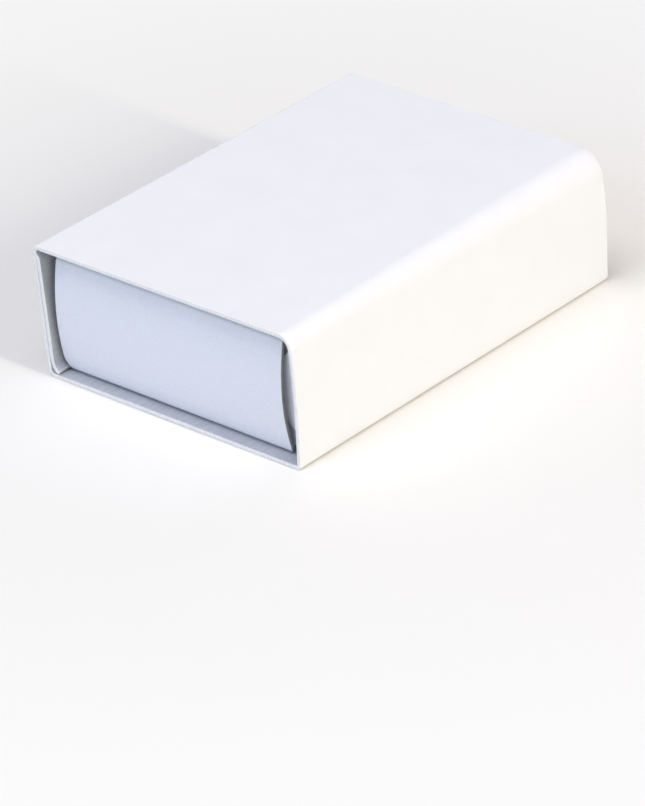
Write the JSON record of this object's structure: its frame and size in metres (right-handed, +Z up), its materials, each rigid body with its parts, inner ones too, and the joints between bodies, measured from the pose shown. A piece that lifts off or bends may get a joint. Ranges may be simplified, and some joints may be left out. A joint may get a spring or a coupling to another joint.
{
  "type": "matchbox",
  "caption": "Small slide-open matchbox in plain white card: a folded sleeve with a striking strip, and a tray of wooden matches that slides out of either end.",
  "frame": {"origin": "middle of the underside, on the surface the box stands on", "axes": "+Y along the box, the way the tray goes when pushed in from the front; +X across it, away from the lapped side; +Z up through the top panel"},
  "size_m": [0.0365, 0.052, 0.0154],
  "materials": {
    "sleeve_card": "smooth white coated carton board, matt",
    "tray_card": "uncoated white carton board, matt",
    "friction_coat": "fine gritty printed coat",
    "match_splint": "dry aspen splint with a dipped head"
  },
  "bodies": {
    "sleeve_body": {"sleeve": "sleeve_card", "striking_strip": "friction_coat"},
    "tray_body": {"tray": "tray_card", "match_01": "match_splint", "match_02": "match_splint", "match_03": "match_splint", "match_04": "match_splint", "match_05": "match_splint", "match_06": "match_splint", "match_07": "match_splint", "match_08": "match_splint", "match_09": "match_splint", "match_10": "match_splint", "match_11": "match_splint", "match_12": "match_splint", "match_13": "match_splint", "match_14": "match_splint", "match_15": "match_splint", "match_16": "match_splint", "match_17": "match_splint", "match_18": "match_splint", "match_19": "match_splint", "match_20": "match_splint", "match_21": "match_splint", "match_22": "match_splint", "match_23": "match_splint", "match_24": "match_splint", "match_25": "match_splint", "match_26": "match_splint", "match_27": "match_splint", "match_28": "match_splint", "match_29": "match_splint", "match_30": "match_splint", "match_31": "match_splint", "match_32": "match_splint", "match_33": "match_splint", "match_34": "match_splint", "match_35": "match_splint", "match_36": "match_splint", "match_37": "match_splint", "match_38": "match_splint", "match_39": "match_splint", "match_40": "match_splint"}
  },
  "joints": [
    {"name": "tray_slide", "type": "slide", "parent": "sleeve_body", "child": "tray_body", "axis": [0, -1, 0], "range_m": [-0.042, 0.042]}
  ]
}
